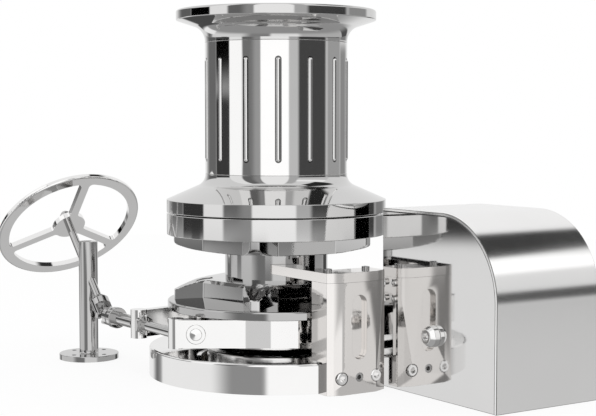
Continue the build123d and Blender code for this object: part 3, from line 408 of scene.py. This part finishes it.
def add_object(name, mesh):
    """An object at the origin, in the scene."""
    piece = bpy.data.objects.new(name, mesh)
    bpy.context.scene.collection.objects.link(piece)
    return piece


def turned_piece(name, corners, columns=TURNED_COLUMNS, steps=ROUND_STEPS):
    """A closed outline carried round the Z axis: (r cos t, r sin t, z) for t in a full turn."""
    profile, lean = rounded_outline(corners, steps)
    turn = np.arange(columns) * (2 * math.pi / columns)
    circle = np.stack([np.cos(turn), np.sin(turn)], 1)
    points = np.empty((len(profile), columns, 3))
    normals = np.empty_like(points)
    points[..., :2] = profile[:, None, :1] * circle
    points[..., 2] = profile[:, None, 1]
    normals[..., :2] = lean[:, None, :1] * circle
    normals[..., 2] = lean[:, None, 1]
    return grid_piece(name, points, normals)


def edged_copy(node, width):
    """A merged copy of a CAD node whose sharp edges are eased, as a polished plate's are."""
    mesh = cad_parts[node].data.copy()
    piece = add_object(node + "_eased", mesh)
    work = bmesh.new()
    work.from_mesh(mesh)
    bmesh.ops.remove_doubles(work, verts=work.verts, dist=JOIN_DISTANCE)
    bmesh.ops.dissolve_limit(work, angle_limit=math.radians(FLAT_ANGLE), verts=work.verts,
                             edges=work.edges)
    work.to_mesh(mesh)
    work.free()
    if "custom_normal" in mesh.attributes:
        mesh.attributes.remove(mesh.attributes["custom_normal"])
    smooth(mesh)
    mesh.set_sharp_from_angle(angle=math.radians(EDGE_ANGLE))
    ease = piece.modifiers.new(EASED_EDGES, "BEVEL")
    ease.width = width * MM
    ease.segments = EASED_SEGMENTS
    ease.limit_method = "ANGLE"
    ease.angle_limit = math.radians(EDGE_ANGLE)
    ease.harden_normals = True
    keep_flat(piece)
    return piece


def keep_flat(piece):
    """Keeps the flat faces flat up to the sharp edges."""
    even = piece.modifiers.new("Flat faces", "WEIGHTED_NORMAL")
    even.keep_sharp = True


def fit(piece, body, slot, material, *nodes, edge=None):
    """Puts a piece on its body, in its finish, in place of these CAD nodes. The slot argument is
    not used.
    Its eased edges get a finish of their own where edge names one, such as the painted dark
    outline."""
    piece.data.materials.clear()
    piece.data.materials.append(finish(material))
    if edge:
        piece.data.materials.append(finish(edge))
        piece.modifiers[EASED_EDGES].material = 1
    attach(piece, body)
    if nodes:
        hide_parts(*nodes)


def dress(material, *nodes):
    """Gives CAD nodes their finish."""
    for node in nodes:
        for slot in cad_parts[node].material_slots:
            slot.material = finish(material)


# Outlines of turned pieces: (radius, height) or (radius, height, round) in millimetres

CAPSTAN_SKIRT = (
    (22, 225.8), (38, 225.8), (38, 235.8), (100, 235.8), (100, 207.8), (110, 207.8), (118, 225.8),
    (153.3, 225.8, 1), (153.3, 243.2, 1), (99.1, 267, 17), (99.1, 279), (90.1, 279), (90.1, 287),
    (84.1, 287), (84.1, 264), (38, 254), (38, 290), (22, 290))
CAPSTAN_FLARE = (
    (22, 460), (38, 460), (38, 494.5), (84.1, 478.5), (84.1, 452), (90.1, 452), (90.1, 460),
    (99.1, 460), (99.1, 478, 22), (139, 491, 1.5), (139, 504.5, 3), (33.5, 510.5), (33.5, 499),
    (22, 499))
GYPSY_FLANGE = (
    (28, 78.6), (38, 78.6), (38, 92), (152.5, 92, 0.8), (152.5, 103.5, 2.4), (104, 108.5),
    (72, 108.5), (72, 173.3), (28, 173.3))
GYPSY_RING = (
    (28, 173.3), (72, 173.3), (72, 195), (153.3, 195, 1), (153.3, 224.4, 1), (122.8, 224.4),
    (114.8, 206), (38, 206), (38, 216), (28, 216))
# The height is measured out of the hood's side plate
HOOD_BOLT = (
    (0.02, -14.6), (6, -14.6), (6, -0.6), (14, -0.6, 1), (13.4, 7, 3), (9.5, 13, 1.5),
    (5, 13, 0.6), (5, 6), (0.02, 6))
HOOD_BOLT_PLACE = (0.0565, -0.28, 0.0806)
HOOD_BOLT_COLUMNS = 96

# Width of the eased edges of CAD nodes, in millimetres
BAND_EDGE = 0.8
BRACKET_EDGE = 0.6
COVER_EDGE = 0.7
HOOD_PLATE_EDGE = 0.9
WHEEL_EDGE = 0.9


# Chain gypsy, in millimetres

NOSE_COUNT = 5
NOSE_SECTOR = 2 * math.pi / NOSE_COUNT
FIRST_NOSE = math.radians(-134.2)
NOSE_CORNERS = ((104.6, -23.7, 4.0), (143.4, -6.7, 1.6), (143.4, 6.7, 1.6), (104.6, 23.7, 4.0))
NOSE_STEPS = 6
PLAN_SPACING = 2.5
DISH_DEPTH = 4.0        # the hollow that runs up a nose's middle
DISH_WIDTH = 9.0
DISH_HALF_ANGLE = 0.25  # radians on either side of the nose
LEAN_RADIUS = 143.0     # at the noses' tips, where the full lean is
LEAN_POWER = 1.3
LOBE_INNER = 71.0
LOBE_FOOT = 0.5         # how far the lobes go into the flange or ring
WALL_ROWS = 14
EDGE_ROWS = 8
NOSE_ROWS = 18
NOSE_BOTTOM = 12.0      # heights over the lobes' far side where the noses' own rows begin
NOSE_END = 0.5          # and how far short of the lobes' face they end
LOBE_EDGE_ANGLE = 26.0
# Heights of the lobes' far side and of their face at the chain groove
LOWER_FAR, LOWER_FACE = 101, 133.3
UPPER_FAR, UPPER_FACE = 195, 171.5
# How far out the lobes reach at each height over their far side
LOWER_NOSES = ((0, 150), (16, 145.5), (18.5, 142), (20.5, 137), (23.5, 129), (27, 119.5),
               (29.5, 112), (31, 105), (31.9, 99), (32.3, 90))
UPPER_NOSES = ((0, 147), (9, 145.5), (12.5, 143.5), (15, 140), (17, 134), (19, 126), (21, 116),
               (22.5, 107), (23.2, 98), (23.5, 90))


def lobe_plan():
    """Outline of the lobes from above: five noses stand out from a pentagon of flat chain seats.
    Each nose's corners (u, v) are turned to its bearing a: (u cos a - v sin a,
    u sin a + v cos a). Long sides are divided evenly."""
    corners = []
    for step in range(NOSE_COUNT):
        turn = FIRST_NOSE + NOSE_SECTOR * step
        for out, across, rounded in NOSE_CORNERS:
            corners.append((out * math.cos(turn) - across * math.sin(turn),
                            out * math.sin(turn) + across * math.cos(turn), rounded))
    outline, _ = rounded_outline(corners, NOSE_STEPS)
    ahead = np.roll(outline, -1, 0) - outline
    pieces = np.maximum(1, np.ceil(np.hypot(*ahead.T) / PLAN_SPACING)).astype(int)
    start = np.repeat(np.arange(len(outline)), pieces)
    first = np.repeat(np.cumsum(pieces) - pieces, pieces)
    share = (np.arange(pieces.sum()) - first) / np.repeat(pieces, pieces)
    return outline[start] + ahead[start] * share[:, None]


def lobes(name, far, groove, reach, edge, lean):
    """The ring of lobes between two heights, far from and at the chain groove. Every column of
    points goes up the lobes' face and back at the hub. The face's radius is the plan's, less the
    lean times the height, less the eased edge, and at most the noses' reach, which a dish of
    depth d * exp(-(v / w)^2) lowers over the noses' middle."""
    side = 1 if groove > far else -1
    depth = abs(groove - far)
    plan = lobe_plan()
    radius = np.hypot(*plan.T)
    direction = plan / radius[:, None]
    bearing = np.arctan2(plan[:, 1], plan[:, 0]) - FIRST_NOSE
    bearing = (bearing + NOSE_SECTOR / 2) % NOSE_SECTOR - NOSE_SECTOR / 2
    sunk = DISH_DEPTH * np.exp(-(radius * np.sin(bearing) / DISH_WIDTH) ** 2)
    sunk = sunk * (np.abs(bearing) < DISH_HALF_ANGLE)
    heights, reaches = np.array(reach, float).T
    rise = np.concatenate([np.linspace(0, depth - edge, WALL_ROWS),
                           np.linspace(depth - edge, depth, EDGE_ROWS),
                           np.linspace(NOSE_BOTTOM, depth - NOSE_END, NOSE_ROWS)])
    rise = np.unique(np.round(rise, 3))[:, None]
    eased = radius - lean * rise * (radius / LEAN_RADIUS) ** LEAN_POWER
    eased = eased - np.clip(rise - (depth - edge), 0, None)
    lowered = rise + sunk * np.clip(rise / depth, 0, 1)
    face = np.minimum(eased, np.interp(lowered, heights, reaches))
    hub = (LOBE_INNER * direction)[None]
    level = np.concatenate([hub, face[..., None] * direction, hub])
    tall = np.concatenate([[[-LOBE_FOOT]], rise, [[depth]]]) * np.ones(len(plan))
    points = np.concatenate([level, (far + side * tall)[..., None]], 2)
    return faceted(grid_piece(name, points[::side]))


def faceted(piece):
    """Joins points that meet, so that no face is empty, and turns the faces outwards."""
    work = bmesh.new()
    work.from_mesh(piece.data)
    bmesh.ops.remove_doubles(work, verts=work.verts, dist=2 * JOIN_DISTANCE)
    bmesh.ops.recalc_face_normals(work, faces=work.faces)
    work.to_mesh(piece.data)
    work.free()
    smooth(piece.data)
    piece.data.set_sharp_from_angle(angle=math.radians(LOBE_EDGE_ANGLE))
    keep_flat(piece)
    return piece


# Pieces

class WINDLASS_OT_base(bpy.types.Operator):
    """Base disc with its bearing and seal"""
    bl_idname = "windlass.base"
    bl_label = "Base Disc"

    def execute(self, context):
        dress("mirror_steel", "base_plate")
        dress("bush_bronze", "lower_bush")
        dress("seal_rubber", "shaft_seal")
        return {"FINISHED"}


class WINDLASS_OT_capstan(bpy.types.Operator):
    """Capstan with its skirt, barrel, grip bars, flare and cap"""
    bl_idname = "windlass.capstan"
    bl_label = "Capstan"

    def execute(self, context):
        skirt = turned_piece("capstan_skirt", CAPSTAN_SKIRT, steps=FOOT_STEPS)
        flare = turned_piece("capstan_flare", CAPSTAN_FLARE, steps=FLARE_STEPS)
        fit(skirt, "capstan", "polished_steel", "flare_steel", "capstan_base")
        fit(flare, "capstan", "polished_steel", "flare_steel", "capstan_top")
        dress("barrel_steel", "capstan_barrel")
        dress("mirror_steel", "grip_bars", "drum_cap")
        dress("satin_steel", "main_shaft", "hub_key")
        dress("screw_steel", "cap_screws")
        dress("bush_bronze", "lower_thrust_washer", "upper_thrust_washer")
        return {"FINISHED"}


class WINDLASS_OT_gypsy(bpy.types.Operator):
    """Chain gypsy with its bolts, bushes, clutch lining and brake drum"""
    bl_idname = "windlass.gypsy"
    bl_label = "Chain Gypsy"

    def execute(self, context):
        flange = turned_piece("gypsy_flange", GYPSY_FLANGE)
        ring = turned_piece("gypsy_ring", GYPSY_RING)
        lower = lobes("gypsy_lower_lobes", LOWER_FAR, LOWER_FACE, LOWER_NOSES, edge=4.8, lean=0.03)
        upper = lobes("gypsy_upper_lobes", UPPER_FAR, UPPER_FACE, UPPER_NOSES, edge=1.2, lean=0)
        fit(flange, "gypsy", "polished_steel", "groove_steel", "gypsy_lower_half")
        fit(ring, "gypsy", "polished_steel", "ring_steel", "gypsy_upper_half")
        fit(lower, "gypsy", "polished_steel", "gypsy_steel")
        fit(upper, "gypsy", "polished_steel", "groove_steel")
        dress("screw_steel", "gypsy_bolts", "drum_screws")
        dress("turned_steel", "brake_drum")
        dress("bush_bronze", "gypsy_lower_bush", "gypsy_upper_bush")
        dress("friction_lining", "clutch_lining")
        return {"FINISHED"}


class WINDLASS_OT_brake(bpy.types.Operator):
    """Band brake with its bars, linings, hinge and feet"""
    bl_idname = "windlass.brake"
    bl_label = "Band Brake"

    def execute(self, context):
        for node, body in (("brake_band_front", "brake_arm"), ("brake_band_rear", "base")):
            fit(edged_copy(node, BAND_EDGE), body, "polished_steel", "band_steel", node)
        dress("mirror_steel", "arm_bolt")
        dress("friction_lining", "brake_lining_front", "brake_lining_rear")
        dress("screw_steel", "band_foot_screws", "hinge_pin", "hinge_clip")
        return {"FINISHED"}


class WINDLASS_OT_linkage(bpy.types.Operator):
    """Brake screw, castle nut, collar and universal joint"""
    bl_idname = "windlass.linkage"
    bl_label = "Brake Screw and Joint"

    def execute(self, context):
        dress("linkage_steel", "brake_screw", "castle_nut", "thrust_collar", "lower_yoke",
              "upper_yoke", "joint_cross")
        dress("screw_steel", "split_pin", "lower_joint_pins")
        return {"FINISHED"}


class WINDLASS_OT_handwheel(bpy.types.Operator):
    """Handwheel with its shaft, nut, pedestal and bush"""
    bl_idname = "windlass.handwheel"
    bl_label = "Handwheel and Pedestal"

    def execute(self, context):
        fit(edged_copy("handwheel", WHEEL_EDGE), "handwheel", "polished_steel", "wheel_steel",
            "handwheel", edge="edge_steel")
        dress("linkage_steel", "wheel_shaft", "handwheel_nut", "pedestal", "pedestal_bush")
        return {"FINISHED"}


class WINDLASS_OT_stripper(bpy.types.Operator):
    """Chain stripper with its bracket, plates and screws"""
    bl_idname = "windlass.stripper"
    bl_label = "Chain Stripper"

    def execute(self, context):
        for node in ("stripper_bracket", "stripper_plate"):
            fit(edged_copy(node, BRACKET_EDGE), "base", "polished_steel", "bracket_steel", node,
                edge="edge_steel")
        dress("bracket_steel", "stripper_side_plate")
        dress("mirror_steel", "stripper_side_screws", "stripper_foot_bolts")
        dress("socket_steel", "stripper_top_screws", "stripper_set_screw")
        return {"FINISHED"}


class WINDLASS_OT_hood(bpy.types.Operator):
    """Chain hood with its cover, plates, frame, pipe and bolt"""
    bl_idname = "windlass.hood"
    bl_label = "Chain Hood"

    def execute(self, context):
        for node in ("hood_side_plate", "hood_outer_plate"):
            fit(edged_copy(node, HOOD_PLATE_EDGE), "base", "polished_steel", "hood_steel", node,
                edge="edge_steel")
        bolt = turned_piece("hood_socket_bolt", HOOD_BOLT, HOOD_BOLT_COLUMNS)
        out_of_plate = Matrix.Rotation(-math.pi / 2, 4, "Y")
        bolt.data.transform(Matrix.Translation(HOOD_BOLT_PLACE) @ out_of_plate)
        fit(bolt, "base", "polished_steel", "mirror_steel", "hood_bolt")
        fit(edged_copy("hood_cover", COVER_EDGE), "base", "polished_steel", "cover_steel",
            "hood_cover", edge="edge_steel")
        dress("satin_steel", "hood_frame", "hood_bolt_nut")
        dress("mirror_steel", "chain_pipe")
        return {"FINISHED"}


# Stage

SENSOR_WIDTH = 36
FLOOR_CORNERS = 128
FLOOR_DROP = -0.2       # millimetres, under the deck plane
FLOOR_GREY = 0.9
LAMP_PLACE = Vector((-0.9, -1.1, 2.6))
LAMP_TARGET = Vector((0, 0, 0.2))
LAMP_WIDTH = 2.2
LAMP_POWER = 12
STEEL_SHARE = 0.88      # light that the steel gives back
ROOM_GREY = 0.89        # how steel shows the room between its lights and flags
STRAIGHT_DOWN = -90

# Lights and flags of the room as polished steel shows them: name; low and high bearing in
# degrees, 0 towards the camera and positive to its right; low and high elevation; grey; and how
# soft the edges at those four limits are
CARDS = (
    ("low back left", -141, -123, -15, -5, 0.42, 8, 3, 1.5, 0.4),
    ("low left floor", -121, -54, -90, -5, 0.90, 14, 10, 0, 0.4),
    ("low left dip", -49, -7.5, -90, -5, 0.54, 12, 6, 0, 0.4),
    ("low front floor", -7.5, 40, -90, -5, 0.97, 3, 6, 0, 0.4),
    ("low right", 40, 130, -90, -5, 0.74, 6, 2, 0, 0.4),
    ("low back right", 131, 153, -90, -5, 0.33, 2, 3, 0, 0.4),
    ("floor below", -400, 400, -90, -24, 0.61, 1, 1, 0, 9),
    ("wheel face glow", 112, 152, -76, -56, 0.69, 5, 5, 1.5, 1.5),
    ("low back glow", -152, -117, -28, -15, 1.0, 4, 4, 1.5, 1.5),
    ("low back flag", -400, -155, -42, -14, 0.30, 1, 5, 1.5, 1.5),
    ("left seat grey", -97, -84, -6.8, -4.6, 0.55, 2, 2, 1.5, 0.4),
    ("left wing", -147, -112, -5, 12, 0.39, 14, 2, 1.5, 1.5),
    ("black flag foot", -112, -79.5, -5, 1, 0.215, 2, 1.5, 0.4, 0.4),
    ("black flag", -112, -79.5, 1, 8, 0.006, 2, 1.5, 1.5, 1.5),
    ("left strip light", -79, -55.5, -5, 60, 0.97, 1, 2, 1.5, 1.5),
    ("left grey", -55, -23.5, -5, 60, 0.42, 2, 2, 1.5, 1.5),
    ("left grey lift", -36, -23, -5, 60, 0.58, 6, 1, 1.5, 1.5),
    ("front light", -24, 20.5, -5.5, 70, 1.0, 1.5, 1.5, 1.5, 1.5),
    ("right fall", 21.5, 38, -5, 60, 0.72, 1, 5, 1.5, 1.5),
    ("right flag", 36.5, 88, -5, 6, 0.255, 3, 4, 1.5, 1.5),
    ("right grey", 90, 126, -5, 6, 0.585, 4, 4, 1.5, 1.5),
    ("right foot flag", 88, 123, -5, -3, 0.26, 2, 2, 0.4, 0.4),
    ("back right grey", 126, 155, -5, 3, 0.52, 4, 12, 0.4, 0.4),
    ("right bounce", 40, 94, 6, 24, 0.81, 3, 3, 1.5, 1.5),
    ("right top light", 36, 93, 24, 39, 1.0, 2, 2, 1.5, 1.5),
    ("right top flag", 74, 132, 39, 66, 0.17, 4, 5, 1.5, 1.5),
)


def grey(level):
    """Linear value of a grey written as it shows, from 0 to 1."""
    return level / 12.92 if level <= 0.04045 else ((level + 0.055) / 1.055) ** 2.4


class WINDLASS_OT_studio(bpy.types.Operator):
    """Pale floor, soft studio light and the camera"""
    bl_idname = "windlass.studio"
    bl_label = "Studio"

    def execute(self, context):
        scene = context.scene
        studio = scene.windlass_studio
        scene.view_settings.view_transform = "Standard"
        self.add_world(scene, studio)
        self.add_floor(studio)
        self.add_lamp(scene)
        self.add_camera(scene, studio)
        return {"FINISHED"}

    def add_world(self, scene, studio):
        """Camera rays see white. Reflections see the room with its lights and flags, each a
        patch of bearing and elevation. Other rays see an even white, so that a colour renders
        as it is written."""
        world = bpy.data.worlds.new("studio")
        scene.world = world
        shader = Shader(world)
        x, y, z = shader.parts(shader.add("ShaderNodeTexCoord", {}, output="Generated"))
        view = math.radians(studio.bearing)
        ahead = x * math.sin(view) + y * math.cos(view)
        right = x * math.cos(view) - y * math.sin(view)
        bearing = x.math("ARCTAN2", right, ahead * -1) * math.degrees(1)
        elevation = z.math("ARCSINE", z) * math.degrees(1)
        level = grey(ROOM_GREY) / STEEL_SHARE
        for _, west, east, low, high, tone, *soft in CARDS:
            card = bearing.within(west, east, soft[0], soft[1])
            if low > STRAIGHT_DOWN:
                card = card * elevation.within(low, high, soft[2], soft[3])
            else:
                card = card * (1 - elevation.step_up(high, soft[3]))
            level = level + (grey(tone) / STEEL_SHARE - level) * card
        room = shader.add("ShaderNodeCombineXYZ", {}, level, level, level)
        glossy = shader.add("ShaderNodeLightPath", {}, output="Is Glossy Ray")
        white = shader.add("ShaderNodeBackground", {}, (1, 1, 1, 1), 1.0)
        lit = shader.add("ShaderNodeBackground", {}, room, 1.0)
        mixed = shader.add("ShaderNodeMixShader", {}, glossy, white, lit)
        shader.add("ShaderNodeOutputWorld", {}, Surface=mixed)

    def add_floor(self, studio):
        """A disc with its rim at (r cos t, r sin t), just under the deck plane. The camera sees
        it white but for the shadow's share, and polished steel sees the room instead."""
        turn = np.arange(FLOOR_CORNERS) * (2 * math.pi / FLOOR_CORNERS)
        reach = studio.floor_reach / MM
        drop = np.full(FLOOR_CORNERS, FLOOR_DROP)
        rim = np.stack([reach * np.cos(turn), reach * np.sin(turn), drop], 1)
        floor = mesh_piece("floor", rim, [list(range(FLOOR_CORNERS))])
        material = bpy.data.materials.new("floor")
        shader = Shader(material)
        camera = shader.add("ShaderNodeLightPath", {}, output="Is Camera Ray")
        white = shader.add("ShaderNodeEmission", {}, (1, 1, 1, 1), 1.0)
        matt = shader.add("ShaderNodeBsdfDiffuse", {}, (FLOOR_GREY, FLOOR_GREY, FLOOR_GREY, 1))
        mixed = shader.add("ShaderNodeMixShader", {}, camera * (1 - studio.shadow), matt, white)
        shader.add("ShaderNodeOutputMaterial", {}, Surface=mixed)
        floor.data.materials.append(material)
        floor.visible_glossy = False

    def add_lamp(self, scene):
        """A large soft lamp above the windlass and in front, which its steel doesn't mirror."""
        data = bpy.data.lights.new("soft key", "AREA")
        data.shape = "DISK"
        data.size = LAMP_WIDTH
        data.energy = LAMP_POWER
        lamp = bpy.data.objects.new("soft key", data)
        lamp.location = LAMP_PLACE
        lamp.rotation_euler = (LAMP_TARGET - LAMP_PLACE).to_track_quat("-Z", "Y").to_euler()
        lamp.visible_glossy = False
        scene.collection.objects.link(lamp)

    def add_camera(self, scene, studio):
        """The camera, at the photograph's viewing angle."""
        data = bpy.data.cameras.new("camera")
        data.lens = studio.lens
        data.sensor_width = SENSOR_WIDTH
        camera = bpy.data.objects.new("camera", data)
        line = math.radians(studio.bearing - studio.turn)
        camera.location = (-studio.distance * math.sin(line), -studio.distance * math.cos(line),
                           studio.height)
        camera.rotation_euler = (math.radians(90 - studio.tilt), 0, -math.radians(studio.bearing))
        scene.collection.objects.link(camera)
        scene.camera = camera


STEPS = (WINDLASS_OT_base, WINDLASS_OT_capstan, WINDLASS_OT_gypsy, WINDLASS_OT_brake,
         WINDLASS_OT_linkage, WINDLASS_OT_handwheel, WINDLASS_OT_stripper, WINDLASS_OT_hood,
         WINDLASS_OT_studio)


class WINDLASS_PT_panel(bpy.types.Panel):
    """Steps and settings of the windlass"""
    bl_label = "Anchor Windlass"
    bl_idname = "WINDLASS_PT_panel"
    bl_space_type = "VIEW_3D"
    bl_region_type = "UI"
    bl_category = "Windlass"

    def draw(self, context):
        for settings in (context.scene.windlass_steel, context.scene.windlass_studio):
            box = self.layout.box()
            for key in settings.bl_rna.properties.keys():
                if key not in ("rna_type", "name"):
                    box.prop(settings, key)
        for step in STEPS:
            self.layout.operator(step.bl_idname)


CLASSES = (SteelSettings, StudioSettings, *STEPS, WINDLASS_PT_panel)


def register():
    for each in CLASSES:
        bpy.utils.register_class(each)
    bpy.types.Scene.windlass_steel = bpy.props.PointerProperty(type=SteelSettings)
    bpy.types.Scene.windlass_studio = bpy.props.PointerProperty(type=StudioSettings)


def unregister():
    del bpy.types.Scene.windlass_studio
    del bpy.types.Scene.windlass_steel
    for each in reversed(CLASSES):
        bpy.utils.unregister_class(each)


def main():
    register()
    for step in STEPS:
        group, name = step.bl_idname.split(".")
        getattr(getattr(bpy.ops, group), name)()


if __name__ == "__main__":
    main()
